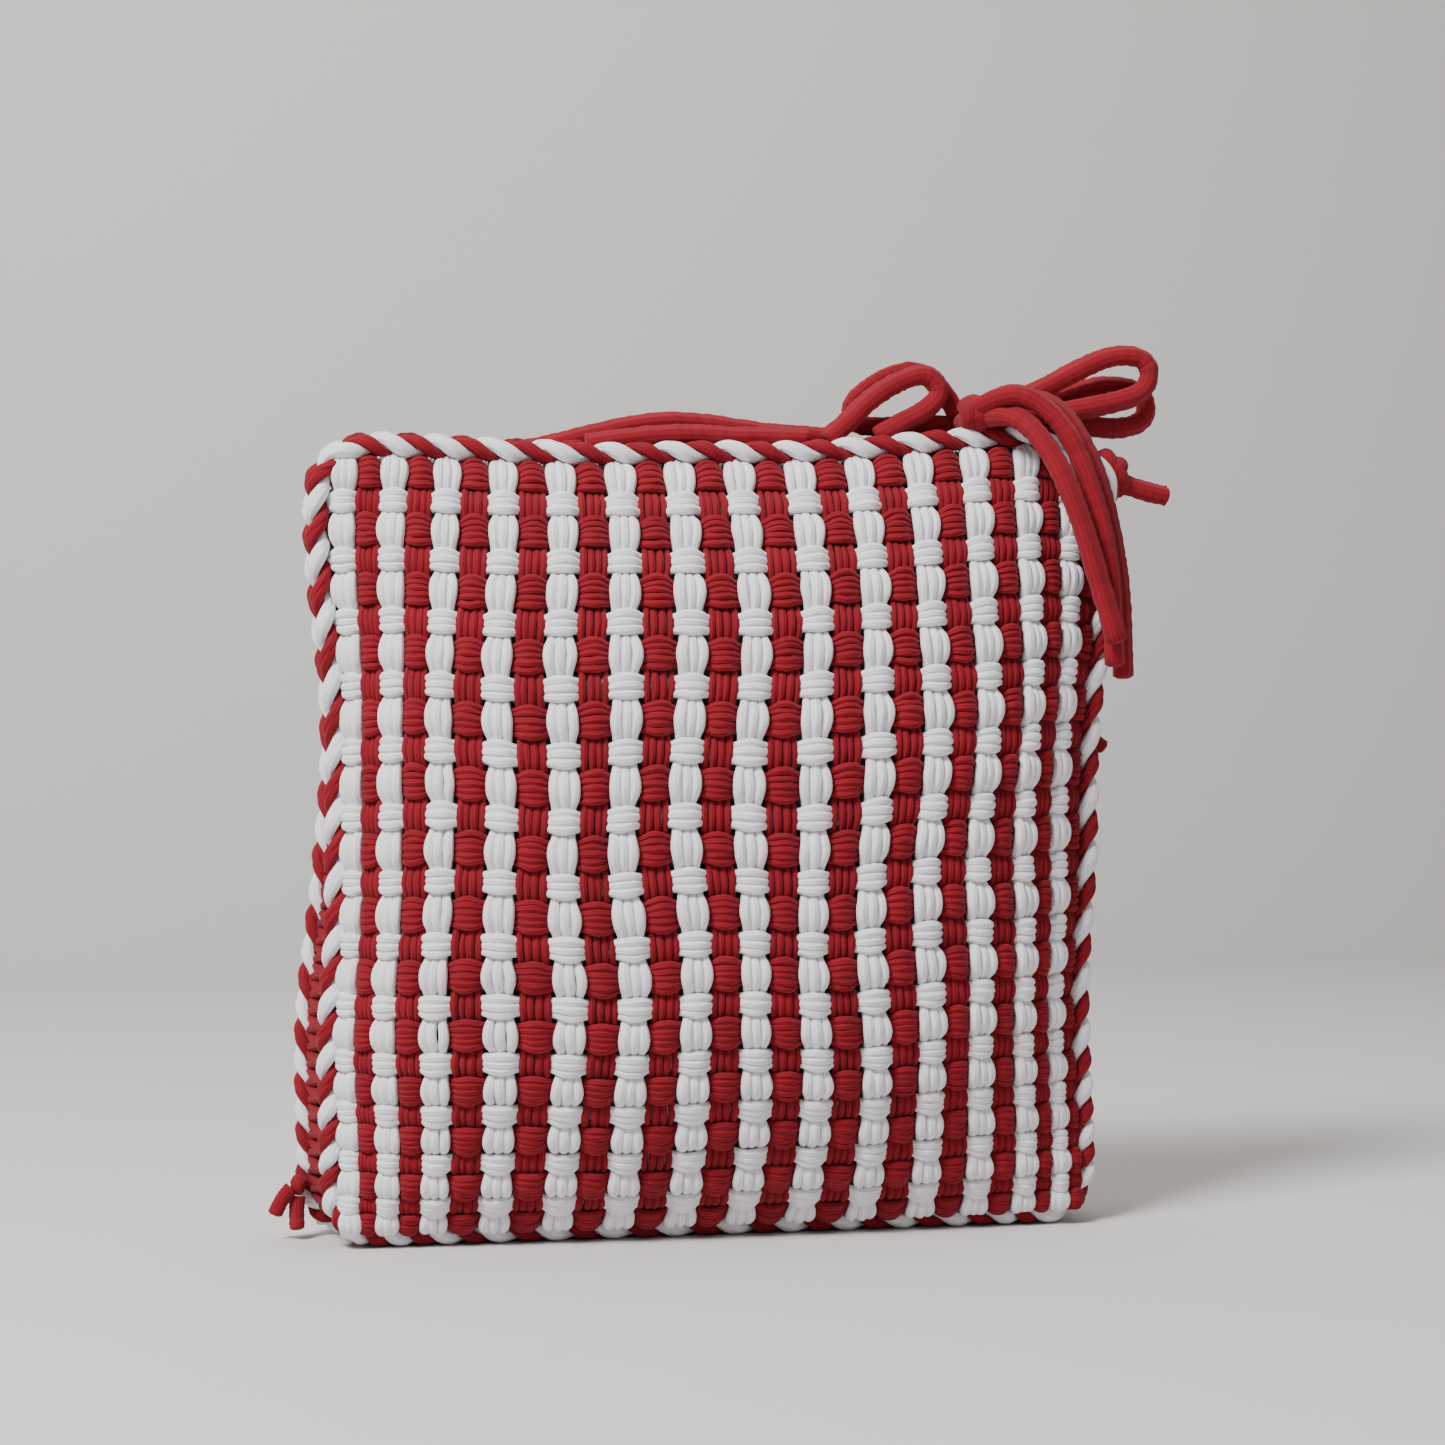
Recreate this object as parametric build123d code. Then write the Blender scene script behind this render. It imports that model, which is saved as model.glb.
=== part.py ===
"""Hand-woven square cushion with a two-ply rope edging, standing on its bottom edge.

Millimetres. X is the width, -Y the front, +Z up. The origin is the middle of the flat
strip that the cushion stands on. Two woven panels (front and back mirror each other)
lean together towards the top, with a filled insert between them. The panels are plain
bent strips here: two layers, warps behind and wefts in front, cut where bundles part.
"""
import math
import os

from build123d import *

# Overall size
WIDTH = 400.0            # over the edging, left to right
HEIGHT = 405.0           # floor to the top of the edging
CROWN = 58.0             # how far a panel bulges beyond its edges
TOP_OFFSET = 7.5         # edging centreline from the middle plane, at the top
FOOT_OFFSET = 20.0       # the same at the foot, where the filling spreads the panels

# Edging rope, drawn as two parallel plies
PLY = 6.0                # diameter of one ply
GAP = 0.3                # clearance between soft neighbours
CORNER = 32.0            # corner radius of the outer ply's centreline
FLATTEN = 0.8            # how much the outer ply is pressed flat by standing

# Weave
WARP_COLUMNS = 14        # white columns, and as many red ones
WEFT_ROWS = 13           # white rows, between one more red rows
WHITE_SHARE = 0.55       # share of a pair of columns that the white one takes
WHITE_ROW_SHARE = 0.42   # share of a pair of rows that the white one takes
WARP_LAYER = 6.0         # thickness of the warp layer
WEFT_LAYER = 6.0         # thickness of the weft layer
COLUMN_CROWDING = 0.13   # how much narrower columns look towards the sides
ROW_CROWDING = 0.12      # the same for rows, towards top and bottom
ROW_SAG = 0.105          # how far the middle row hangs below the middle
CROWN_PROFILE = [(1.0, 0.0), (0.82, 0.45), (0.5, 0.86), (0.22, 1.0)]  # along, height
BELLY = -0.15            # height of the fullest point, in half heights from the middle

# Insert
INSERT_MARGIN = 12.0     # from the panel's edge to the insert's edge
CLOTH = 1.5              # insert cloth
SOFT_CORNER = 30.0       # corner radius of the insert

# Lacing between the two edgings
LACING = 5.0             # thickness of the laced band
LACING_END = 34.0        # distance from a corner to where the band stops

# Ties
CORD = 10.0              # diameter of the rolled jersey cord
YARN_END = 7.0           # diameter of a cut yarn end
KNOT = (24.0, 33.0, 22.0)
KNOT_PLACE = (141.0, -3.5, 12.5)         # the last one is above the edging
CORNER_KNOT = (26.0, 18.0, 30.0)
CORNER_KNOT_PLACE = (17.0, 6.0, -17.0)   # from the upper right corner
TIE_OFF = (9.0, 12.0, 11.0)
TIE_OFF_PLACE = (-6.0, 12.0, 27.0)       # from the lower left corner
KNOT_ROUNDING = 3.0

# Free cords: hand-set route points, each from its knot or from the seam
ROUTES = {
    "top_tie_rear": [(-106, 17, 399.5), (-84, 16.7, 401.5), (-56, 16.5, 407), (-22, 16.5, 413),
                     (4, 16.5, 412), (30, 16.5, 406.5), (50, 16.7, 403.8), (66, 17, 402.5)],
    "top_tie_front": [(-62, 0, 406.1), (-36, 0, 406.8), (-8, 0, 408.8), (16, 0, 407.4),
                      (36, 0, 406.4), (53, 0, 406.1)],
    "left_loop_outer": [(63, -1, 408.5), (73, -2, 413), (84, -2.5, 424), (99, -2.5, 433),
                        (115, -2.5, 438.5), (123, -2.5, 429.5), (116, -2.5, 419.5),
                        (103, -2.5, 414), (89.5, -1.5, 408.3)],
    "left_loop_inner": [(129, 8, 422.3), (125, 8.6, 433), (114, 9.5, 441.5), (99, 9.5, 438),
                        (87, 9.5, 431), (77, 9.5, 422.5), (79, 9.5, 411.3), (94, 9.3, 410.9),
                        (112, 8.6, 412.3), (129, 8, 411.9)],
    "right_loop_upper": [(153, -4, 423), (171, -4, 429), (194, -4, 441), (218, -3.5, 452),
                         (237, -3.5, 448), (235, -3.5, 431), (212, -4, 424), (189, -4, 420),
                         (168, -4, 413), (153, -4, 412.2)],
    "right_loop_lower": [(153, 6.6, 423), (172, 8, 424), (194, 9, 430), (216, 9.5, 437),
                         (238, 9.5, 434), (241, 9.5, 418), (224, 9, 411.5), (203, 8, 414.5),
                         (180, 7, 411), (166, 6.8, 412.8), (153, 6.6, 412.2)],
    "front_tail": [(148, -20, 412.2), (151, -30, 413), (162, -37, 408), (175, -42, 388),
                   (186, -45, 359), (195, -45, 329), (205, -43, 300)],
    "doubled_tail_near": [(140.5, -20, 423), (148, -30, 427), (163, -33, 425.5),
                          (181, -35, 409), (193, -37, 381), (203, -37, 351),
                          (209, -35, 321), (212, -32, 288)],
    "doubled_tail_far": [(153, -14.6, 423), (166, -19, 427), (183, -23, 419),
                         (199, -26, 395), (210, -27, 366), (217, -26, 336),
                         (221, -24, 308), (222, -22, 282)],
    "corner_stub": [(230, 7, 383), (239.5, 7, 379.5), (250, 8, 378.5)],
}
YARN_ROUTES = {
    "lacing_end_left": [(-210, 8.5, 26), (-214.5, 8.5, 22), (-218, 8, 13.5)],
    "lacing_end_right": [(-206.5, 11, 21.5), (-207.5, 10, 14.5), (-207, 8, 6)],
    "edge_yarn_end": [(200.2, 2, 252), (206, 1, 250), (213, 0, 245)],
}

# Places worked out from the sizes above
HALF_WIDTH = WIDTH / 2
PLY_STEP = PLY + GAP
OUTER_LINE = PLY / 2                     # from the outline to the outer ply's centreline
PANEL_EDGE = OUTER_LINE + PLY_STEP + PLY / 2 + GAP
PANEL_HALF = HALF_WIDTH - PANEL_EDGE
PANEL_LOW = PANEL_EDGE - FLATTEN
PANEL_HIGH = HEIGHT - PANEL_EDGE
PANEL_MIDDLE = (PANEL_LOW + PANEL_HIGH) / 2
PANEL_RISE = (PANEL_HIGH - PANEL_LOW) / 2
FULLEST = PANEL_MIDDLE + BELLY * PANEL_RISE
PANEL_CORNER = CORNER - PLY_STEP - PLY / 2 - GAP
BACK_OF_WARPS = WARP_LAYER + GAP
REACH = 200.0                            # more than the cushion's half thickness
LEAN = math.degrees(math.atan((FOOT_OFFSET - TOP_OFFSET) / HEIGHT))
LEANING = Pos(0, -FOOT_OFFSET, 0) * Rot(X=-LEAN)   # from a panel's own frame to the cushion's
KNOT_CENTRE = (KNOT_PLACE[0], KNOT_PLACE[1], HEIGHT + KNOT_PLACE[2])
CORNER_KNOT_CENTRE = (HALF_WIDTH + CORNER_KNOT_PLACE[0], CORNER_KNOT_PLACE[1],
                      HEIGHT + CORNER_KNOT_PLACE[2])
TIE_OFF_CENTRE = (-HALF_WIDTH + TIE_OFF_PLACE[0], TIE_OFF_PLACE[1], TIE_OFF_PLACE[2])


def offset_at(height):
    """Distance of the edging's plane from the middle plane at a height."""
    return FOOT_OFFSET + (TOP_OFFSET - FOOT_OFFSET) * height / HEIGHT


def bent_outline(low, high, fullest, back):
    """Outline of a crowned section: along the panel, and minus the height above it."""
    rising = [(fullest + (low - fullest) * along, back - CROWN * share)
              for along, share in CROWN_PROFILE]
    falling = [(fullest + (high - fullest) * along, back - CROWN * share)
               for along, share in reversed(CROWN_PROFILE)]
    return Polygon((low, REACH), *rising, *falling, (high, REACH), align=None)


def dome(back):
    """A crowned block over the whole panel, in the panel's frame, its rim at back."""
    across = extrude(bent_outline(-PANEL_HALF, PANEL_HALF, 0, back), amount=2 * HEIGHT)
    upright = bent_outline(PANEL_LOW, PANEL_HIGH, FULLEST, back)
    section = Plane(origin=(-WIDTH, 0, 0), x_dir=(0, 0, 1), z_dir=(1, 0, 0))
    # the section's second axis is -Y turned over, so the outline is mirrored into place
    along = extrude(section * mirror(upright, about=Plane.XZ), amount=2 * WIDTH)
    return across & along


def upright_block(half_width, low, high, corner):
    """A block through the whole thickness, with a rounded-rectangle outline."""
    outline = RectangleRounded(2 * half_width, high - low, corner)
    middle = Plane(origin=(0, REACH, (low + high) / 2), x_dir=(1, 0, 0), z_dir=(0, -1, 0))
    return extrude(middle * outline, amount=2 * REACH)


def layer(back, thickness):
    """A bent sheet over the whole panel, from back forwards by its thickness."""
    sheet = dome(back - thickness) - dome(back)
    return sheet & upright_block(PANEL_HALF, PANEL_LOW, PANEL_HIGH, PANEL_CORNER)


def crowded(s, crowding, sag=0.0):
    """Place on the panel, from -1 to 1, of an evenly counted place s."""
    return (1 + crowding) * s - crowding * s**3 - sag * (1 - s * s)


def column_edges():
    """Left edge of every column and the right edge of the last."""
    edges = []
    for pair in range(WARP_COLUMNS):
        edges += [pair, pair + WHITE_SHARE]
    edges.append(WARP_COLUMNS)
    spread = [2 * e / WARP_COLUMNS - 1 for e in edges]
    return [PANEL_HALF * crowded(s, COLUMN_CROWDING) for s in spread]


def row_edges():
    """Lower edge of every row and the upper edge of the last."""
    edges = [0.0]
    for pair in range(WEFT_ROWS):
        edges += [pair + 1 - WHITE_ROW_SHARE, pair + 1]
    edges.append(WEFT_ROWS + 1 - WHITE_ROW_SHARE)
    spread = [2 * e / edges[-1] - 1 for e in edges]
    return [PANEL_MIDDLE + PANEL_RISE * crowded(s, ROW_CROWDING, ROW_SAG) for s in spread]


def strips(sheet, edges, first, upright):
    """Every second strip of a sheet, between neighbouring edges, set leaning."""
    pieces = []
    for low, high in list(zip(edges, edges[1:]))[first::2]:
        middle, width = (low + high) / 2, high - low - GAP
        if upright:
            slab = Pos(middle, 0, HEIGHT / 2) * Box(width, 2 * REACH, 2 * HEIGHT)
        else:
            slab = Pos(0, 0, middle) * Box(2 * WIDTH, 2 * REACH, width)
        pieces += [LEANING * piece for piece in (sheet & slab).solids()]
    return Compound(pieces)


def ply(inward):
    """A closed loop of one ply, in the panel's frame."""
    half = HALF_WIDTH - OUTER_LINE - inward
    low = OUTER_LINE - FLATTEN + inward
    high = HEIGHT - OUTER_LINE - inward
    plane = Plane(origin=(0, 0, (low + high) / 2), x_dir=(1, 0, 0), z_dir=(0, -1, 0))
    path = (plane * RectangleRounded(2 * half, high - low, CORNER - inward)).wire()
    return sweep(Plane(origin=path @ 0, z_dir=path % 0) * Circle(PLY / 2), path=path)


def flattened(shape):
    """The shape without what would lie below the floor."""
    return shape - Pos(0, 0, -HEIGHT) * Box(2 * WIDTH, 2 * REACH, 2 * HEIGHT)


def insert_body(back, margin):
    """The filled insert's front half, with its face at back and its edges in by margin."""
    outline = upright_block(
        PANEL_HALF - INSERT_MARGIN - margin,
        PANEL_LOW + GAP + margin,
        PANEL_HIGH - INSERT_MARGIN - margin,
        SOFT_CORNER - margin,
    )
    half = Pos(0, -REACH / 2, HEIGHT / 2) * Box(2 * WIDTH, REACH, 2 * HEIGHT)
    return LEANING * (dome(back) & outline) & half


def insert_cloth():
    """The front half of the insert's bag."""
    outer = insert_body(BACK_OF_WARPS + GAP, 0)
    inner = insert_body(BACK_OF_WARPS + GAP + CLOTH, CLOTH)
    seam = Pos(0, 0, HEIGHT / 2) * Box(2 * WIDTH, GAP, 2 * HEIGHT)
    return outer - inner - seam


def fibre_fill():
    """The filling, both halves in one."""
    half = insert_body(BACK_OF_WARPS + CLOTH + 2 * GAP, CLOTH + GAP)
    return half + mirror(half, about=Plane.XZ)


def side_lacing():
    """The right-hand laced band, a wedge that widens to the foot."""
    low, high = LACING_END, HEIGHT - LACING_END
    inside = HALF_WIDTH - PLY
    corners = []
    for side, height in ((-1, low), (1, low), (1, high), (-1, high)):
        corners.append((side * (offset_at(height) - PLY / 2 - GAP), height))
    face = Plane.YZ.offset(inside - LACING) * Polygon(*corners, align=None)
    return extrude(face, amount=LACING)


def foot_lacing():
    """The laced band between the edgings along the foot; the cushion rests on it too."""
    length = 2 * (HALF_WIDTH - LACING_END)
    depth = 2 * (offset_at(0) - PLY / 2 - GAP)
    return Pos(0, 0, LACING / 2) * Box(length, depth, LACING)


def knot(centre, size):
    """A drawn-up knot as a rounded block."""
    block = Box(*size)
    return Pos(*centre) * fillet(block.edges(), KNOT_ROUNDING)


def cord(name, points, diameter):
    """A tube along straight runs joined by tangent arcs as large as the runs allow."""
    points = [Vector(*p) for p in points]
    radii = []
    for before, corner, after in zip(points, points[1:], points[2:]):
        turn = math.radians((corner - before).get_angle(after - corner))
        shorter = min((corner - before).length, (after - corner).length)
        radii.append(0.45 * shorter / math.tan(turn / 2))
    path = FilletPolyline(*points, radius=radii)
    section = Plane(origin=path @ 0, z_dir=path % 0) * Circle(diameter / 2)
    tube = sweep(section, path=path)
    share = tube.volume / (math.pi * diameter**2 / 4 * path.length)
    print(f"{name}: {path.length:.1f} mm, volume share {share:.4f}, radii",
          [round(r, 1) for r in radii])
    return tube


def save(shape, name):
    export_step(shape, os.path.join("parts", f"{name}.step"))


def main():
    os.makedirs("parts", exist_ok=True)
    columns, rows = column_edges(), row_edges()
    warps = layer(BACK_OF_WARPS, WARP_LAYER)
    wefts = layer(0, WEFT_LAYER)
    front = {
        "white_warps": strips(warps, columns, 0, True),
        "red_warps": strips(warps, columns, 1, True),
        "red_wefts": strips(wefts, rows, 0, False),
        "white_wefts": strips(wefts, rows, 1, False),
        "edging_white_ply": flattened(LEANING * ply(0)),
        "edging_red_ply": LEANING * ply(PLY_STEP),
        "insert_cloth": insert_cloth(),
    }
    for name, shape in front.items():
        save(shape, f"front_{name}")
        save(mirror(shape, about=Plane.XZ), f"back_{name}")
    save(fibre_fill(), "fibre_fill")
    side = side_lacing()
    save(side, "right_seam_lacing")
    save(mirror(side, about=Plane.YZ), "left_seam_lacing")
    save(foot_lacing(), "foot_seam_lacing")
    save(knot(KNOT_CENTRE, KNOT), "bow_knot")
    save(knot(CORNER_KNOT_CENTRE, CORNER_KNOT), "corner_knot")
    save(knot(TIE_OFF_CENTRE, TIE_OFF), "lacing_tie_off")
    for name, points in ROUTES.items():
        save(cord(name, points, CORD), name)
    for name, points in YARN_ROUTES.items():
        save(cord(name, points, YARN_END), name)


main()
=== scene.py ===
"""Hand-woven cushion: bundles of jersey yarn, a two-ply rope edging, seam lacing and a cord bow."""
import math
import random

import bmesh
import bpy
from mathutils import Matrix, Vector


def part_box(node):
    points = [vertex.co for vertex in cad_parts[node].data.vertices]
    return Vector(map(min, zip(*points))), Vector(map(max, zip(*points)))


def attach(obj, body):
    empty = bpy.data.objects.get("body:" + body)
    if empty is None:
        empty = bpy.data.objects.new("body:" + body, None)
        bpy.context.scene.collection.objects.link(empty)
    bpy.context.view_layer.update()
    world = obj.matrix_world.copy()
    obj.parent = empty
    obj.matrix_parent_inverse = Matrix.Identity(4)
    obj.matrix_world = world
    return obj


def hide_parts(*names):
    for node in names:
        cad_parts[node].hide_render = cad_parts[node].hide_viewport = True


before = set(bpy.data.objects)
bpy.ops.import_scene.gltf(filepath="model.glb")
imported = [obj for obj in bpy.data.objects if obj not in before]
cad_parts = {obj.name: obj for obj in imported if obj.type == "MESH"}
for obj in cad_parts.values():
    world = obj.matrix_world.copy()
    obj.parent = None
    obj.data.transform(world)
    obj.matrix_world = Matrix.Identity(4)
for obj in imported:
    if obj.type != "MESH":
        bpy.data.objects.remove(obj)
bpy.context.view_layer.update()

MM = 0.001                   # the script is in metres

# ---------------------------------------------------------------- shader maths


class Value:
    """A number that varies over a surface, so that a pattern reads as an expression."""

    def __init__(self, finish, socket):
        self.finish, self.socket = finish, socket

    def _math(self, operation, left, right=None):
        values = [left] if right is None else [left, right]
        return self.finish.node("ShaderNodeMath", {"operation": operation}, values)

    def __add__(self, other):
        return self._math("ADD", self, other)

    def __radd__(self, other):
        return self._math("ADD", other, self)

    def __sub__(self, other):
        return self._math("SUBTRACT", self, other)

    def __rsub__(self, other):
        return self._math("SUBTRACT", other, self)

    def __mul__(self, other):
        return self._math("MULTIPLY", self, other)

    def __rmul__(self, other):
        return self._math("MULTIPLY", other, self)

    def sine(self):
        """Between -1 and 1."""
        return self._math("SINE", self)


class Finish:
    """A material made of a few procedural patterns."""

    def __init__(self, name, roughness, sheen):
        self.material = bpy.data.materials.new(name)
        self.material.use_nodes = True
        self.nodes = self.material.node_tree.nodes
        self.links = self.material.node_tree.links
        self.shader = self.nodes["Principled BSDF"]
        self.shader.inputs["Roughness"].default_value = roughness
        self.shader.inputs["Sheen Weight"].default_value = sheen
        self.shader.inputs["Sheen Roughness"].default_value = 0.5
        self.shader.inputs["Specular IOR Level"].default_value = 0.25

    def node(self, kind, settings, values, output=0):
        """A node with its settings, then the numbers or links of its sockets."""
        made = self.nodes.new(kind)
        for key, setting in settings.items():
            setattr(made, key, setting)
        pairs = values.items() if isinstance(values, dict) else enumerate(values)
        for key, value in pairs:
            if isinstance(value, Value):
                self.links.new(value.socket, made.inputs[key])
            else:
                made.inputs[key].default_value = value
        return Value(self, made.outputs[output])

    def feed(self, name, value):
        self.links.new(value.socket, self.shader.inputs[name])

    def noise(self, scale, detail=2.0):
        """A soft random pattern over the object."""
        place = self.node("ShaderNodeTexCoord", {}, [], "Object")
        values = {"Vector": place, "Scale": scale, "Detail": detail}
        return self.node("ShaderNodeTexNoise", {}, values, 0)

    def blend(self, factor, first, second):
        """Between two colours."""
        settings = {"data_type": "RGBA", "clamp_factor": True}
        return self.node("ShaderNodeMix", settings, {0: factor, 6: first, 7: second}, 2)

    def bump(self, height, strength, distance):
        values = {"Height": height, "Strength": strength, "Distance": distance}
        self.feed("Normal", self.node("ShaderNodeBump", {}, values))


def jersey(name, light, dark, wales, sheen, strength=0.5):
    """Knitted jersey: lengthwise wales on every strand, a little fuzz, uneven dye, and painted
    shade in the valleys between the wales.
    """
    finish = Finish(name, roughness=0.88, sheen=sheen)
    place = finish.node("ShaderNodeUVMap", {"uv_map": "UVMap"}, [])
    around = finish.node("ShaderNodeSeparateXYZ", {}, [place], "Y")
    rib = (around * (2 * math.pi * wales)).sine()
    fuzz = finish.noise(scale=1400.0)
    patch = finish.noise(scale=38.0)
    # colour factor: painted shade in the valleys between the wales (rib), plus fuzz and uneven dye
    # (patch)
    dye_and_valley_shade = rib * -0.16 + fuzz * 0.5 + patch * 0.7 - 0.12
    finish.feed("Base Color", finish.blend(dye_and_valley_shade, light, dark))
    finish.bump(rib * 0.5 + fuzz * 1.3, strength, 0.0004)
    return finish.material


def cloth(name, light, dark, thread):
    """Plain woven cotton."""
    finish = Finish(name, roughness=0.9, sheen=0.1)
    place = finish.node("ShaderNodeTexCoord", {}, [], "Object")
    ripples = []
    for axis in ("X", "Z"):
        along = finish.node("ShaderNodeSeparateXYZ", {}, [place], axis)
        ripples.append((along * (2 * math.pi / thread)).sine())
    weave = ripples[0] * ripples[1]
    dye = finish.noise(scale=60.0)
    finish.feed("Base Color", finish.blend(weave * 0.3 + dye * 0.6, light, dark))
    finish.bump(weave, 0.4, 0.0002)
    return finish.material


def plain(name, light, dark, scale):
    """Soft fibre, clumped by its scale."""
    finish = Finish(name, roughness=0.9, sheen=0.0)
    finish.feed("Base Color", finish.blend(finish.noise(scale), light, dark))
    finish.bump(finish.noise(scale * 8), 0.2, 0.0005)
    return finish.material


WHITE = jersey("white_jersey", (0.90, 0.885, 0.915, 1), (0.68, 0.665, 0.70, 1),
               wales=7, sheen=0.25)
RED = jersey("red_jersey", (0.285, 0.006, 0.016, 1), (0.13, 0.002, 0.007, 1),
             wales=7, sheen=0.04)
RED_CORD = jersey("red_jersey_cord", (0.30, 0.008, 0.018, 1), (0.16, 0.004, 0.010, 1),
                  wales=12, sheen=0.06, strength=0.3)
LINING = cloth("insert_cotton", (0.80, 0.77, 0.70, 1), (0.66, 0.63, 0.56, 1), thread=0.9 * MM)
FIBRE = plain("polyester_fibre", (0.93, 0.93, 0.92, 1), (0.80, 0.80, 0.79, 1), scale=90.0)

# ---------------------------------------------------------------------- camera

# metres, from the middle of the foot
VIEW_AZIMUTH = math.radians(-12.0)
VIEW_DISTANCE = 1.53
VIEW_HEIGHT = 0.258
VIEW_ASIDE = 0.008
LENS, SENSOR = 74.7, 36.0    # both in millimetres, as a camera states them


def camera():
    """A level camera a little to the left of square on."""
    right = Vector((math.cos(VIEW_AZIMUTH), math.sin(VIEW_AZIMUTH), 0))
    back = Vector((math.sin(VIEW_AZIMUTH), -math.cos(VIEW_AZIMUTH), 0))
    data = bpy.data.cameras.new("camera")
    data.lens, data.sensor_width = LENS, SENSOR
    made = bpy.data.objects.new("camera", data)
    made.location = back * VIEW_DISTANCE + right * VIEW_ASIDE + Vector((0, 0, VIEW_HEIGHT))
    made.rotation_euler = (math.pi / 2, 0, VIEW_AZIMUTH)
    bpy.context.scene.collection.objects.link(made)
    bpy.context.scene.camera = made


# ------------------------------------------------------------- the cushion's form

edging_high = Vector(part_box("front_edging_white_ply")[1])
panel_low, panel_high = (Vector(c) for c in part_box("front_red_wefts"))
HALF_WIDTH = edging_high.x
HEIGHT = edging_high.z
PANEL_HALF = panel_high.x
PANEL_LOW, PANEL_HIGH = panel_low.z, panel_high.z
PANEL_MIDDLE = (PANEL_LOW + PANEL_HIGH) / 2
PANEL_RISE = (PANEL_HIGH - PANEL_LOW) / 2
FRONT, BACK = -1, 1
# from the cushion's mid-plane to each edging's middle
TOP_OFFSET, FOOT_OFFSET = 7.5 * MM, 20 * MM
CROWN = 58 * MM              # how far a panel stands out at its fullest place
BELLY = -0.15                # where that is, from the middle (0) to the foot (-1)
ACROSS_POWER, ALONG_POWER, CROWN_POWER = 3.0, 2.8, 0.9
# pairs of white and red columns, white rows, and the white share of each pair
COLUMNS, ROWS = 14, 13
WHITE_COLUMN, WHITE_ROW = 0.525, 0.42
# how much columns and rows crowd towards the edges, and how much rows sag
COLUMN_CROWDING, ROW_CROWDING, ROW_SAG = 0.13, 0.12, 0.105
# how far the shoulders spread and the waist pulls in
RIGHT_SPREAD, RIGHT_SHOULDER, LEFT_SHOULDER, WAIST = 3 * MM, 16 * MM, 5 * MM, 4 * MM
# the top edge: low at the left, rising to the right and down again at its end
TOP_LOW, TOP_RISE, TOP_END = -4.5 * MM, 12 * MM, 2.5 * MM
WAVE, LONG_WAVE = 1.2 * MM, 2.2 * MM
# the back panel past the front one at the lower left, and above it at the top
BACK_SPREAD = 8.5 * MM
BACK_HIGHER = 2.6 * MM
FOOT_BULGE, FOOT_DROP = 5.0 * MM, 3.5 * MM


def offset_at(z):
    """From the mid-plane to an edging's middle at a height."""
    return FOOT_OFFSET + (TOP_OFFSET - FOOT_OFFSET) * z / HEIGHT


def crowded(s, crowding, sag=0.0):
    """A place from -1 to 1, moved so that what is even crowds towards both ends."""
    return (1 + crowding) * s - crowding * s**3 - sag * (1 - s * s)


def column_x(s):
    """The place across of a column that would be at s, from -1 to 1, if all were even."""
    return PANEL_HALF * crowded(s, COLUMN_CROWDING)


def row_z(t):
    """The same for a row's height."""
    return PANEL_MIDDLE + PANEL_RISE * crowded(t, ROW_CROWDING, ROW_SAG)


def rise(value, start, end):
    """0 before start, 1 after end, smooth between."""
    t = min(1.0, max(0.0, (value - start) / (end - start)))
    return t * t * (3 - 2 * t)


def settle(p, panel):
    """The soft cushion's own unevenness: shoulders spread, sides pull in, the top slopes."""
    side = p.x / HALF_WIDTH
    high = p.z / HEIGHT
    waist = math.sin(math.pi * min(1.0, max(0.0, high)))
    grow = LEFT_SHOULDER * rise(high, 0.5, 0.9)
    if side > 0:
        grow = RIGHT_SPREAD + RIGHT_SHOULDER * rise(high, 0.35, 0.85)
    x = p.x + side * abs(side) * (grow - WAIST * waist)
    slope = TOP_LOW + TOP_RISE * rise(side, 0.10, 0.72) - TOP_END * rise(side, 0.8, 1.0)
    z = p.z + high * (slope + WAVE * math.sin(7 * side + 1))
    ripple = LONG_WAVE * math.sin(9 * high + 4 * side) + WAVE * math.sin(19 * high - 7 * side)
    x += ripple * waist
    z += WAVE * math.sin(11 * side + 6 * high) * waist
    if panel == BACK:
        # the back panel spreads past the front one at the lower left, and stands a little higher
        x -= BACK_SPREAD * rise(-side, 0.3, 1.0) * (1 - rise(high, 0.30, 0.62))
        z += BACK_HIGHER * rise(high, 0.6, 1.0) * rise(-side, -0.1, 0.2)
    return Vector((x, p.y, z))


def mid_surface(x, z):
    """The middle of the weave on the front panel."""
    fullest = PANEL_MIDDLE + BELLY * PANEL_RISE
    span = PANEL_HIGH - fullest if z > fullest else fullest - PANEL_LOW
    across = max(0.0, 1 - abs(x / PANEL_HALF) ** ACROSS_POWER)
    along = max(0.0, 1 - abs((z - fullest) / span) ** ALONG_POWER)
    return Vector((x, -offset_at(z) - CROWN * across**CROWN_POWER * along**CROWN_POWER, z))


def mid_normal(x, z):
    """Outward from the front panel."""
    step = 2 * MM
    dx = mid_surface(x + step, z) - mid_surface(x - step, z)
    dz = mid_surface(x, z + step) - mid_surface(x, z - step)
    normal = dx.cross(dz).normalized()
    return -normal if normal.y > 0 else normal


# how far columns have wandered sideways, in millimetres: places across, then three heights
DRIFT_AT = (-1.0, -0.82, -0.68, -0.53, -0.39, -0.11, 0.18, 0.47, 0.75, 1.0)
DRIFT_HIGH = (0.12, 0.48, 0.95)
DRIFT = ((-1.0, -6.0, -8.0, -3.5, 0.0, 2.0, 3.0, 7.0, 9.0, 2.0),
         (-2.0, -10.0, -12.5, -9.5, -5.0, -1.0, 1.0, 2.0, 2.0, 0.0),
         (1.0, 3.0, 3.5, 4.0, 3.5, 4.5, 6.0, 6.5, 6.0, 2.0))


def between(value, places, amounts):
    """The amount at a value, straight from place to place and level beyond them."""
    value = min(places[-1], max(places[0], value))
    for low, high, first, second in zip(places, places[1:], amounts, amounts[1:]):
        if value <= high:
            return first + (second - first) * (value - low) / (high - low)
    return amounts[-1]


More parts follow.
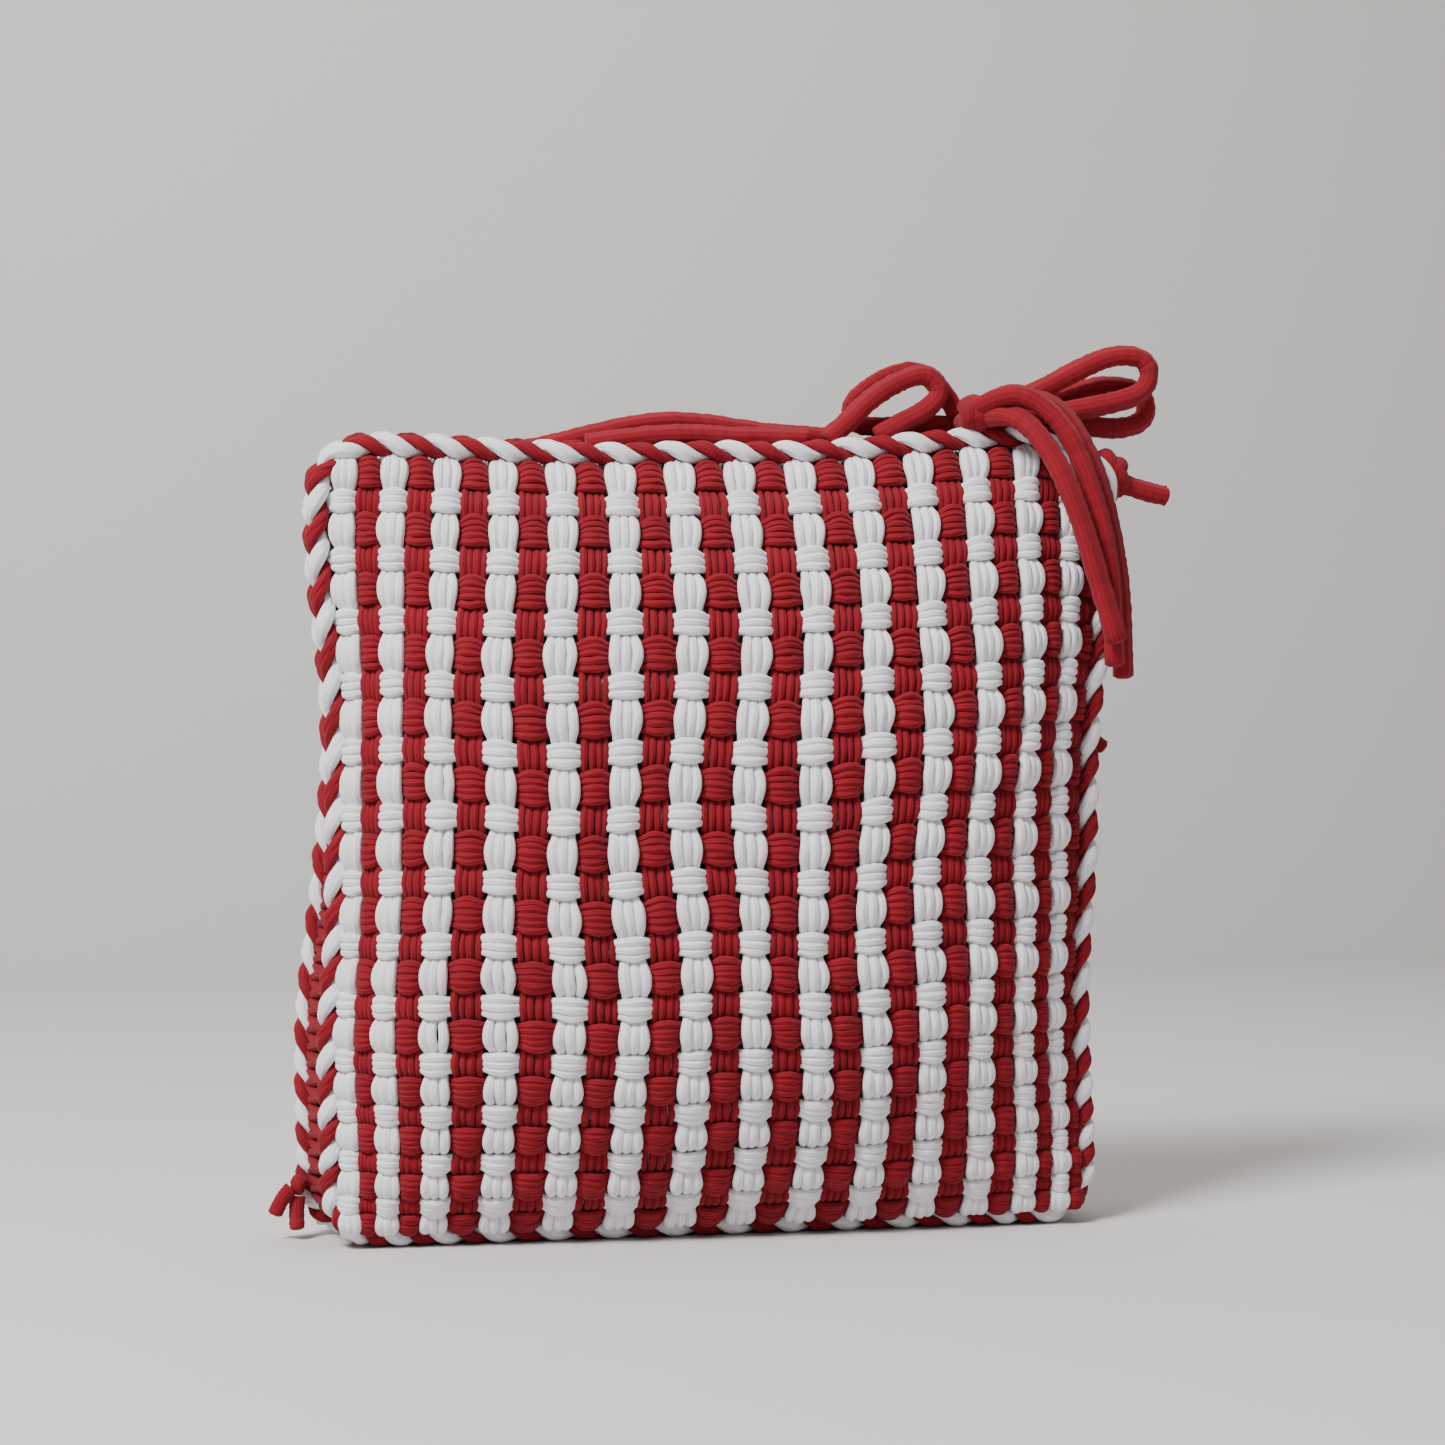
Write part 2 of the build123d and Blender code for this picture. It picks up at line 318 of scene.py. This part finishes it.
def drift(across, high):
    """How far a column has wandered at a place across, from -1 to 1, and a height from 0 to 1."""
    return between(high, DRIFT_HIGH, [between(across, DRIFT_AT, row) for row in DRIFT]) * MM


def panel_point(side, s, t, out):
    """A point on a panel: s across and t up, from -1 to 1, and out from the weave's middle."""
    x, z = column_x(s), row_z(t)
    wandered = Vector((drift(s, z / HEIGHT), 0, 0))
    p = settle(mid_surface(x, z) + mid_normal(x, z) * out + wandered, side)
    # the lowest rows bulge over the edging they stand on
    over = 1 - rise(p.z / HEIGHT, 0.03, 0.16)
    return Vector((p.x, side * (FOOT_BULGE * over - p.y), p.z - FOOT_DROP * over))


# -------------------------------------------------------------------- strands


def curve_data(name, strands, radius, sides):
    """A curve with one spline for each strand, (points, widths, closed)."""
    data = bpy.data.curves.new(name, "CURVE")
    data.dimensions = "3D"
    data.bevel_depth = radius
    data.bevel_resolution = sides // 2 - 2
    data.use_fill_caps = True
    for points, widths, closed in strands:
        spline = data.splines.new("NURBS")
        spline.points.add(len(points) - 1)
        for knot, point, width in zip(spline.points, points, widths):
            knot.co = (*point, 1)
            knot.radius = width
        spline.order_u = 3
        spline.use_cyclic_u = closed
        spline.use_endpoint_u = not closed
        spline.resolution_u = 2
    return data


def strand_mesh(name, strands, radius, sides=8):
    """The strands of one piece as a mesh with its own UV map."""
    data = curve_data(name, strands, radius, sides)
    carrier = bpy.data.objects.new(name + "_curve", data)
    mesh = bpy.data.meshes.new_from_object(carrier)
    bpy.data.objects.remove(carrier)
    bpy.data.curves.remove(data)
    return mesh


def piece(name, mesh, material, nodes):
    """A visible piece in place of its nodes."""
    mesh.name = name
    mesh.materials.clear()
    mesh.materials.append(material)
    mesh.shade_smooth()
    made = bpy.data.objects.new(name, mesh)
    bpy.context.scene.collection.objects.link(made)
    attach(made, "root")
    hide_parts(*nodes)
    return made


def shares(count, share):
    """(centre, half width, is white) of every column, white first, from -1 to 1."""
    found = []
    for pair in range(count):
        for start, width, white in ((0, share, True), (share, 1 - share, False)):
            low = 2 * (pair + start) / count - 1
            found.append((low + width / count, width / count, white))
    return found


def row_shares():
    """The same for the rows from the foot up: a red row, then white and red in turn."""
    units = (ROWS + 1) * (1 - WHITE_ROW) + ROWS * WHITE_ROW
    found, low = [], -1.0
    for row in range(2 * ROWS + 1):
        white = row % 2 == 1
        width = 2 * (WHITE_ROW if white else 1 - WHITE_ROW) / units
        found.append((low + width / 2, width / 2, white))
        low += width
    return found


COLUMN_LIST, ROW_LIST = shares(COLUMNS, WHITE_COLUMN), row_shares()
LIFT = 3.3 * MM              # between a bundle over a crossing and the weave's middle
# a bead of a bundle over its crossing: place along, spread, thickness, height in lifts
ROUND_BEAD = ((-0.80, 0.72, 0.94, 0.15), (-0.50, 0.88, 1.04, 0.92), (0.0, 0.96, 1.10, 1.12),
              (0.50, 0.88, 1.04, 0.92), (0.80, 0.72, 0.94, 0.15))
FLAT_BEAD = ((-0.80, 0.98, 1.0, 0.10), (0.0, 1.06, 1.04, 0.62), (0.80, 0.98, 1.0, 0.10))
# a bundle under its crossing, and a little past the edge of its panel
UNDER_AT, UNDER_SPREAD, UNDER_THICK = 0.22, 0.86, 0.88
END_AT, END_SPREAD, END_THICK = 1.015, 0.6, 0.9
# how strands differ: thinnest and thickest, fullness, stray in half widths, height in millimetres
THINNEST, FULLEST, FULLER, STRAY, UNEVEN = 0.86, 1.16, 0.06, 0.05, 0.15
DOME = 0.7 * MM              # how far a bundle's outer strands lie lower
WEAVE_SEED = {FRONT: 11, BACK: 23}


def bundle(side, own, crossings, upright, count, chance, bead):
    """The strands of one warp or weft bundle as they pass over and under its crossings."""
    centre, half, white = own
    strands = []
    widths_of = [chance.uniform(THINNEST, FULLEST) for _ in range(count)]
    total, run = sum(widths_of), 0.0
    for width in widths_of:
        place = 2 * (run + width / 2) / total - 1
        run += width
        points, widths = [], []

        def add(along, out, spread, thick):
            aside = centre + place * half * spread + chance.uniform(-STRAY, STRAY) * half
            dome = -DOME * place * place
            level = out + dome + chance.uniform(-UNEVEN, UNEVEN) * MM
            s, t = (aside, along) if upright else (along, aside)
            points.append(panel_point(side, s, t, level))
            widths.append(width * thick)

        add(-END_AT, -LIFT, END_SPREAD, END_THICK)
        for middle, reach, crossing_white in crossings:
            over = crossing_white == white if not upright else crossing_white != white
            if over:
                fat = 1 + chance.uniform(-FULLER, FULLER)
                for share, spread, thick, high in bead:
                    add(middle + share * reach, LIFT * high, spread * fat, thick)
            else:
                for share in (-UNDER_AT, UNDER_AT):
                    add(middle + share * reach, -LIFT, bead[0][1] * UNDER_SPREAD, UNDER_THICK)
        add(END_AT, -LIFT, END_SPREAD, END_THICK)
        strands.append((points, widths, False))
    return strands


def woven(side, name):
    """The four sets of bundles of one panel."""
    chance = random.Random(WEAVE_SEED[side])
    # kind, upright, white, strands, their radius in millimetres and sides, bead, finish, slot
    sets = (
        ("white_warps", True, True, 3, 2.65, 10, ROUND_BEAD, WHITE, "white_yarn"),
        ("red_warps", True, False, 4, 1.95, 8, FLAT_BEAD, RED, "red_yarn"),
        ("white_wefts", False, True, 3, 2.35, 8, ROUND_BEAD, WHITE, "white_yarn"),
        ("red_wefts", False, False, 5, 2.05, 6, ROUND_BEAD, RED, "red_yarn"),
    )
    for kind, upright, white, count, radius, sides, bead, material, slot in sets:
        own_list, crossings = (COLUMN_LIST, ROW_LIST) if upright else (ROW_LIST, COLUMN_LIST)
        strands = []
        for own in own_list:
            if own[2] == white:
                strands += bundle(side, own, crossings, upright, count, chance, bead)
        node = f"{name}_{kind}"
        mesh = strand_mesh(node, strands, radius * MM, sides)
        piece(node + "_yarn", mesh, material, [node])


# -------------------------------------------------------------------- edging

ROPE = 12.3 * MM
ROPE_LINE = ROPE / 2
ROPE_CORNER = 26 * MM
ROPE_PRESSED = 0.8 * MM      # by the cushion's weight, at the foot
ROPE_STEP = 2.6 * MM
CORNER_PIECES = 12
PLY_ORBIT = 2.7              # millimetres, from the rope's middle to a ply's
TURN_LEAST = 12 * MM         # a mark closer than this to the one before is left out
EDGING_PHASE = 1.1           # radians, at each mark
STRAND_PHASE = 1.2           # of a ply's strands, past the ply's own turn
SHOWN_AT = math.radians(60)  # the turn at which a ply shows most
LEFT_LEAF = 0.18             # the leaf of both plies down the left side
THICKEST = 1.3               # of a ply's strands, against their plain radius
PLY_UNEVEN = 0.04
EDGING_SEED = {FRONT: 5, BACK: 6}


def edging_line(step):
    """Points and outward directions round the edging's centreline, in the X-Z plane."""
    half, low, high = HALF_WIDTH - ROPE_LINE, ROPE_LINE - ROPE_PRESSED, HEIGHT - ROPE_LINE
    r = ROPE_CORNER
    corners = ((half - r, high - r, 90), (half - r, low + r, 0),
               (-half + r, low + r, -90), (-half + r, high - r, -180))
    outline = []
    for cx, cz, start in corners:
        for i in range(CORNER_PIECES + 1):
            angle = math.radians(start - 90 * i / CORNER_PIECES)
            outward = Vector((math.cos(angle), 0, math.sin(angle)))
            outline.append((Vector((cx, 0, cz)) + r * outward, outward))
    outline.append(outline[0])
    found = []
    for (a, out_a), (b, out_b) in zip(outline, outline[1:]):
        parts = max(1, round((b - a).length / step))
        for i in range(parts):
            share = i / parts
            found.append((a.lerp(b, share), out_a.lerp(out_b, share).normalized()))
    return found


def edging_turns(line, lengths):
    """Turn of the plies at every sample: once round for each white column and each row pair."""
    columns = [column_x(centre) for centre, _, white in COLUMN_LIST if white]
    rows = [row_z(centre) for centre, _, white in ROW_LIST if white]
    half, high = HALF_WIDTH - ROPE_LINE, HEIGHT - ROPE_LINE
    marks = [Vector((half, 0, z)) for z in reversed(rows)]
    marks += [Vector((x, 0, ROPE_LINE)) for x in reversed(columns)]
    marks += [Vector((-half, 0, z)) for z in rows]
    marks += [Vector((x + drift(x / PANEL_HALF, 1.0), 0, high)) for x in columns]
    found = []
    for mark in marks:
        nearest = min(range(len(line)), key=lambda i: (line[i][0] - mark).length)
        if not found or lengths[nearest] > found[-1][0] + TURN_LEAST:
            found.append((lengths[nearest], len(found)))
    total = lengths[-1]
    found = [(found[-1][0] - total, -1)] + found + [(found[0][0] + total, len(found))]
    turns = []
    for length in lengths:
        for (near, first), (far, second) in zip(found, found[1:]):
            if near <= length <= far:
                turns.append(first + (second - first) * (length - near) / (far - near))
                break
    return turns


def edging(side, name):
    """Two plies of jersey yarn twisted round each other all round one panel."""
    line = edging_line(ROPE_STEP)
    lengths = [0.0]
    for (a, _), (b, _) in zip(line, line[1:] + line[:1]):
        lengths.append(lengths[-1] + (b - a).length)
    turns = edging_turns(line, lengths)
    chance = random.Random(EDGING_SEED[side])
    # colour, phase, strands, their radius and distance from the ply's middle in millimetres, leaf
    plies = (("white", 0.0, 2, 3.05, 0.75, 0.26, WHITE),
             ("red", math.pi, 3, 2.40, 1.50, 0.08, RED))
    lean = Vector((0, -1, 0))
    for colour, phase, count, radius, apart, leaf, material in plies:
        strands = []
        for k in range(count):
            points, widths = [], []
            for (centre, outward), turned in zip(line, turns):
                turn = 2 * math.pi * turned + phase + EDGING_PHASE
                ply = outward * math.cos(turn) + lean * math.sin(turn)
                around = 2 * math.pi * k / count + turn + STRAND_PHASE
                strand = outward * math.cos(around) + lean * math.sin(around)
                at = centre + ply * PLY_ORBIT * MM + strand * apart * MM
                at = settle(Vector((at.x, at.y - offset_at(at.z), at.z)), side)
                points.append(Vector((at.x, side * -at.y, max(at.z, radius * THICKEST * MM))))
                # a ply is fullest where it shows, so that it shows as a pointed leaf
                shown = math.cos(turn - SHOWN_AT)
                left = max(0.0, -outward.x)
                fuller = leaf + left * (LEFT_LEAF - leaf)
                widths.append(1 + fuller * shown + chance.uniform(-PLY_UNEVEN, PLY_UNEVEN))
            strands.append((points, widths, True))
        node = f"{name}_edging_{colour}_ply"
        mesh = strand_mesh(node, strands, radius * MM, 8)
        piece(node + "_yarn", mesh, material, [node])


# -------------------------------------------------------------------- lacing

LACING_PITCH = 9.0 * MM
LACING_STITCH = 0.3          # half a stitch, against the pitch
LACING_PAST = 20.0 * MM      # how far the yarns run on past the plain band
LACING_CORNER = 34.0 * MM    # the radius at which it rounds a corner
LACING_RADIUS = 3.0 * MM
LACING_INSET = 8.2 * MM      # from the cushion's side
LACING_SHORT = 2.0 * MM      # of the edging's middle
LACING_CLEAR = 0.5 * MM      # of the surface that the cushion stands on


def zigzag(start, steps, place):
    """A yarn going to and fro, with a short stitch at every turn."""
    points = []
    for i in range(steps + 1):
        away = BACK if (i + start) % 2 else FRONT
        for shift in (-LACING_STITCH * LACING_PITCH, LACING_STITCH * LACING_PITCH):
            points.append(place(away, i * LACING_PITCH + shift))
    return points, [1.0] * len(points), False


def corner_inset(distance):
    """How far a rounded corner draws in at a distance from the square corner."""
    short = max(0.0, LACING_CORNER - distance)
    return LACING_CORNER - math.sqrt(LACING_CORNER**2 - short**2)


def lacing():
    """Two red yarns to and fro between the two edgings, on the left, right and foot."""
    for name, side in (("left", -1), ("right", 1)):
        low, high = (Vector(c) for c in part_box(f"{name}_seam_lacing"))
        x = side * (HALF_WIDTH - LACING_INSET)
        bottom, top = low.z - LACING_PAST, high.z + LACING_PAST

        def at_side(away, along):
            z = bottom + along
            inset = corner_inset(z) + corner_inset(HEIGHT - z)
            y = away * (offset_at(z) - LACING_SHORT)
            return settle(Vector((x - side * inset, y, z)), away)

        steps = int((top - bottom) / LACING_PITCH)
        strands = [zigzag(start, steps, at_side) for start in (0, 1)]
        mesh = strand_mesh(name + "_lacing", strands, LACING_RADIUS, 8)
        piece(f"{name}_seam_lacing_yarn", mesh, RED, [f"{name}_seam_lacing"])
    low, high = (Vector(c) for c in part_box("foot_seam_lacing"))
    left, right = low.x - LACING_PAST, high.x + LACING_PAST

    def at_foot(away, along):
        x = left + along
        lift = LACING_RADIUS + LACING_CLEAR + corner_inset(HALF_WIDTH - abs(x))
        return Vector((x, away * (offset_at(0) - LACING_SHORT), lift))

    steps = int((right - left) / LACING_PITCH)
    strands = [zigzag(start, steps, at_foot) for start in (0, 1)]
    mesh = strand_mesh("foot_lacing", strands, LACING_RADIUS, 8)
    piece("foot_seam_lacing_yarn", mesh, RED, ["foot_seam_lacing"])


# -------------------------------------------------------------------- insert

BAG_GAP = 10.5 * MM          # from the weave's middle to the bag
FILLING_GAP = 13.0 * MM      # and to its filling
BAG_NARROWER, BAG_TALLER, BAG_LOWER = 2.5 * MM, 3.5 * MM, 5 * MM
SIDE_ROUNDING, END_ROUNDING = 0.09, 0.07
BAG_CUTS = 15
BLUNT = 3 * MM               # half the bag's thickness at its edge
STEEPEST = 0.3               # a normal's least share of depth, past which the gap stops growing


def filled_shape(name, gap):
    """A closed cushion shape that keeps a gap from the middle of the weave on both sides."""
    shape = bmesh.new()
    bmesh.ops.create_cube(shape, size=2.0)
    bmesh.ops.subdivide_edges(shape, edges=shape.edges[:], cuts=BAG_CUTS, use_grid_fill=True)
    half = PANEL_HALF - gap - BAG_NARROWER
    middle, tall = PANEL_MIDDLE - BAG_LOWER, PANEL_RISE - gap + BAG_TALLER
    for v in shape.verts:
        u, deep, w = v.co
        x = half * u * (1 - SIDE_ROUNDING * w**4)
        z = middle + tall * w * (1 - END_ROUNDING * u**4)
        face, normal = mid_surface(x, z), mid_normal(x, z)
        front = -face.y - gap / max(STEEPEST, -normal.y)
        v.co = (x, deep * max(BLUNT, front), z)
    bmesh.ops.recalc_face_normals(shape, faces=shape.faces[:])
    mesh = bpy.data.meshes.new(name)
    shape.to_mesh(mesh)
    shape.free()
    return mesh


def insert():
    """The bag inside, blunt at its edges, and its filling."""
    nodes = ["front_insert_cloth", "back_insert_cloth"]
    bag = piece("insert_bag", filled_shape("bag", BAG_GAP), LINING, nodes)
    smooth = bag.modifiers.new("smooth", "SUBSURF")
    smooth.levels = smooth.render_levels = 1
    piece("filling", filled_shape("filling", FILLING_GAP), FIBRE, ["fibre_fill"])


# ---------------------------------------------------------------- cords and knots

CORD = 10.0 * MM
YARN_END = 7.0 * MM
TIE_OFF_RADIUS = 2.8 * MM
WIDER, FLATTER = 1.14, 0.90
SLIMMEST, PLUMPEST = 0.95, 1.05
# a cord's lengthwise fold: which of its sides it is at, how deep, and how wide as a share round
FOLD_AT, FOLD_DEPTH, FOLD_WIDTH = 4, 0.30, 0.12
ROUTE_STEPS, CORD_ROUNDNESS = 12, 6
SHORTEST = 6                 # a cord's length is held against this many of its diameters
# a cut end's rolled rim, then its hollow: shrink, and how far out in radii
CUT_RIM = ((0.60, 0.25), (0.92, -1.1))
# name: (route in millimetres, what is on its far end, knots that go with it)
CORDS = {
    "top_tie_rear": ([(-106, 17, 395), (-84, 16.7, 398), (-56, 16.5, 406), (-22, 16.5, 413.5),
                      (4, 16.5, 412.5), (30, 16.5, 408.5), (50, 16.7, 407.5), (66, 17, 406.5)],
                     "object", []),
    "top_tie_front": ([(-62, 0, 399), (-36, 0, 403.5), (-8, 0, 405.4), (16, 0, 404),
                       (36, 0, 404.4), (53, 0, 404)], "object", []),
    "left_loop_outer": ([(63, -1, 404), (73, -2, 412), (84, -2.5, 424), (99, -2.5, 434),
                         (116, -2.5, 440), (125, -2.5, 430), (117, -2.5, 420),
                         (103, -2.5, 413), (89.5, -1.5, 405)], "object", []),
    "left_loop_inner": ([(135, 5, 418), (128, 8, 432), (114, 9.5, 442.5), (99, 9.5, 439),
                         (87, 9.5, 432), (77, 9.5, 423), (79, 9.5, 412), (94, 9.3, 410.9),
                         (112, 8.6, 412.3), (134, 7, 412.5)], "object", []),
    "right_loop_upper": ([(147, -4, 420), (171, -4, 428), (194, -4, 441), (218, -3.5, 452),
                          (238, -3.5, 449), (236, -3.5, 431), (212, -4, 424), (189, -4, 420),
                          (168, -4, 413.5), (147, -4, 413)], "object", []),
    "right_loop_lower": ([(148, 4, 420), (172, 8, 424), (194, 9, 430), (216, 9.5, 437),
                          (239, 9.5, 434), (241, 9.5, 418), (224, 9, 412.5), (203, 8, 415),
                          (180, 7, 412), (166, 6.8, 413), (148, 5, 413)], "object", []),
    "front_tail": ([(145, -13, 416), (151, -28, 417), (162, -36, 409), (175, -42, 388),
                    (186, -45, 359), (195, -45, 329), (205, -43, 300)], "bare", ["bow_knot"]),
    "doubled_tail_near": ([(139, -13, 420), (148, -28, 427), (163, -33, 425.5),
                           (181, -35, 409), (193, -37, 381), (202, -37, 351), (206, -35, 321),
                           (208, -32, 288)], "bare", []),
    "doubled_tail_far": ([(147, -10, 420), (166, -18, 427), (183, -23, 419), (197, -26, 395),
                          (206, -27, 366), (212, -26, 336), (215, -24, 308), (216, -22, 282)],
                         "bare", []),
    "corner_stub": ([(224, 6, 385), (237, 7, 380.5), (250, 8, 378.5)], "bare", ["corner_knot"]),
    "lacing_end_left": ([(-210, 8.5, 26), (-214.5, 8.5, 22), (-218, 8, 13.5)],
                        "bare", ["lacing_tie_off"]),
    "lacing_end_right": ([(-206.5, 11, 21.5), (-207.5, 10, 14.5), (-207, 8, 6)], "bare", []),
    "edge_yarn_end": ([(200.2, 2, 252), (206, 1, 250), (213, 0, 245)], "bare", []),
}


def close_ends(shape, hollow_at, radius):
    """Close a tube's ends; rolled jersey is hollow where it is cut."""
    rims = [e for e in shape.edges if e.is_boundary]
    cut = [e for e in rims if hollow_at and (e.verts[0].co - hollow_at).length < 2 * radius]
    closed = [e for e in rims if e not in cut]
    for shrink, depth in CUT_RIM if cut else ():
        middle = sum((e.verts[0].co for e in cut), Vector()) / len(cut)
        axis = (cut[0].verts[0].co - middle).cross(cut[len(cut) // 3].verts[0].co - middle)
        inside = min(shape.verts, key=lambda v: abs((v.co - middle).length - 2.5 * radius))
        axis = axis.normalized() * (1 if axis.dot(inside.co - middle) < 0 else -1)
        grown = bmesh.ops.extrude_edge_only(shape, edges=cut)["geom"]
        for v in (g for g in grown if isinstance(g, bmesh.types.BMVert)):
            v.co = middle + (v.co - middle) * shrink + axis * depth * radius
        cut = [g for g in grown if isinstance(g, bmesh.types.BMEdge)]
    for rim in (closed, cut):
        if rim:
            bmesh.ops.holes_fill(shape, edges=rim, sides=0)
    bmesh.ops.recalc_face_normals(shape, faces=shape.faces[:])


def cord(name, route, diameter, far_end):
    """A rolled jersey cord along its route."""
    points = [Vector(p) * MM for p in route]
    curve = curve_data(name, [(points, [1.0] * len(points), False)], 0.0, 8)
    curve.splines[0].resolution_u = ROUTE_STEPS
    carrier = bpy.data.objects.new(name + "_route", curve)
    line = [v.co.copy() for v in bpy.data.meshes.new_from_object(carrier).vertices]
    curve.bevel_depth = diameter / 2
    curve.bevel_resolution = CORD_ROUNDNESS
    curve.use_fill_caps = False
    mesh = bpy.data.meshes.new_from_object(carrier)
    bpy.data.objects.remove(carrier)
    # a little flattened, with one lengthwise fold where the edges of the jersey strip roll in
    around = len(mesh.vertices) // len(line)
    chance = random.Random(name)
    fullness = [chance.uniform(SLIMMEST, PLUMPEST) for _ in line]
    for index, vertex in enumerate(mesh.vertices):
        step = min(len(line) - 1, index // around)
        fold = abs(index % around - FOLD_AT) / around
        own = (vertex.co - line[step]) * fullness[step]
        own *= 1 - FOLD_DEPTH * max(0.0, 1 - fold / FOLD_WIDTH)
        vertex.co = line[step] + Vector((own.x * WIDER, own.y * FLATTER, own.z * WIDER))
    shape = bmesh.new()
    shape.from_mesh(mesh)
    close_ends(shape, line[-1] if far_end == "bare" else None, diameter / 2)
    shape.to_mesh(mesh)
    shape.free()
    made = piece(name + "_cord", mesh, RED_CORD, [name])
    length = sum((b - a).length for a, b in zip(line, line[1:]))
    if length < SHORTEST * diameter:
        return


NEARLY_ROUND = 2 * math.pi * 0.93   # how far round a turn of a knot goes
RING_STEPS = 14
# turns round a knot, in shares of its half sizes: middle along x, size, slip; and where they start
UPRIGHT_RINGS = ((0.0, 1.0, 0.5, 0.4), (-0.6, 0.9, 0.6, 2.2))
# the same for turns that lie across those, with their lean in x and z first
LEVEL_RINGS = (((0.8, 0.45), 0.0, 1.0, 0.5, 1.1), ((0.5, -0.8), 0.5, 0.9, 0.4, 0.2))


def ring(centre, across, up, radius_a, radius_b, start, slip):
    """An open turn of cord round a knot."""
    points = []
    for i in range(RING_STEPS + 1):
        angle = start + NEARLY_ROUND * i / RING_STEPS
        points.append(centre + across * radius_a * math.cos(angle)
                      + up * radius_b * math.sin(angle) + slip * (i / RING_STEPS - 0.5))
    return points


def knot(name, radius, turns):
    """A knot as crossing turns of the same cord within its node's box."""
    low, high = (Vector(c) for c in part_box(name))
    middle, size = (low + high) / 2, high - low
    x, y, z = Vector((1, 0, 0)), Vector((0, 1, 0)), Vector((0, 0, 1))
    a, b, c = (s / 2 - radius for s in size)
    rings = [ring(middle + x * a * along, y, z, b * share, c * share, start, x * a * slip)
             for along, share, slip, start in UPRIGHT_RINGS]
    for (lean_x, lean_z), along, share, slip, start in LEVEL_RINGS:
        across = x * lean_x + z * lean_z
        centre = middle + x * a * along
        rings.append(ring(centre, across, y, a * share, b * share, start, z * c * slip))
    strands = [(points, [1.0] * len(points), False) for points in rings[:turns]]
    mesh = strand_mesh(name, strands, radius, 12)
    return piece(name + "_turns", mesh, RED_CORD, [name])


# -------------------------------------------------------------------- stage

ROOM, WALL = 4, 1.6          # metres: half the floor's width, and how far back the wall stands
BACKDROP_PAINT = (0.66, 0.64, 0.62, 1)
DAYLIGHT, DAYLIGHT_STRENGTH = (1.0, 0.98, 0.96, 1), 0.19
AIM = Vector((0, 0, 0.2))
# name, place, watts, size
LIGHTS = (
    ("key", (-1.5, -1.3, 2.3), 135.0, 0.9),
    ("fill", (1.9, -1.5, 1.0), 5.0, 1.6),
    ("top", (0.2, 0.3, 2.3), 16.0, 1.4),
)


def stage():
    """A plain pale floor and wall under soft light."""
    for name, corners in (
        ("floor", ((-ROOM, -ROOM, 0), (ROOM, -ROOM, 0), (ROOM, ROOM, 0), (-ROOM, ROOM, 0))),
        ("backdrop", ((-ROOM, WALL, 0), (ROOM, WALL, 0), (ROOM, WALL, ROOM), (-ROOM, WALL, ROOM))),
    ):
        shape = bmesh.new()
        shape.faces.new([shape.verts.new(c) for c in corners])
        mesh = bpy.data.meshes.new(name)
        shape.to_mesh(mesh)
        shape.free()
        surface = Finish(name + "_paint", roughness=0.9, sheen=0.0)
        surface.shader.inputs["Base Color"].default_value = BACKDROP_PAINT
        mesh.materials.append(surface.material)
        made = bpy.data.objects.new(name, mesh)
        bpy.context.scene.collection.objects.link(made)
    for name, place, power, size in LIGHTS:
        data = bpy.data.lights.new(name, "AREA")
        data.energy, data.size = power, size
        made = bpy.data.objects.new(name, data)
        made.location = place
        made.rotation_euler = (AIM - made.location).to_track_quat("-Z", "Y").to_euler()
        bpy.context.scene.collection.objects.link(made)
    world = bpy.data.worlds.new("soft")
    world.use_nodes = True
    background = world.node_tree.nodes["Background"]
    background.inputs["Color"].default_value = DAYLIGHT
    background.inputs["Strength"].default_value = DAYLIGHT_STRENGTH
    bpy.context.scene.world = world


camera()
knots = {
    "bow_knot": knot("bow_knot", radius=CORD / 2, turns=4),
    "corner_knot": knot("corner_knot", radius=CORD / 2, turns=4),
    "lacing_tie_off": knot("lacing_tie_off", radius=TIE_OFF_RADIUS, turns=3),
}
for cord_name, (cord_route, end, its_knots) in CORDS.items():
    thick = YARN_END if "lacing" in cord_name or "yarn" in cord_name else CORD
    cord(cord_name, cord_route, thick, end)
for side, panel in ((FRONT, "front"), (BACK, "back")):
    woven(side, panel)
    edging(side, panel)
lacing()
insert()
stage()
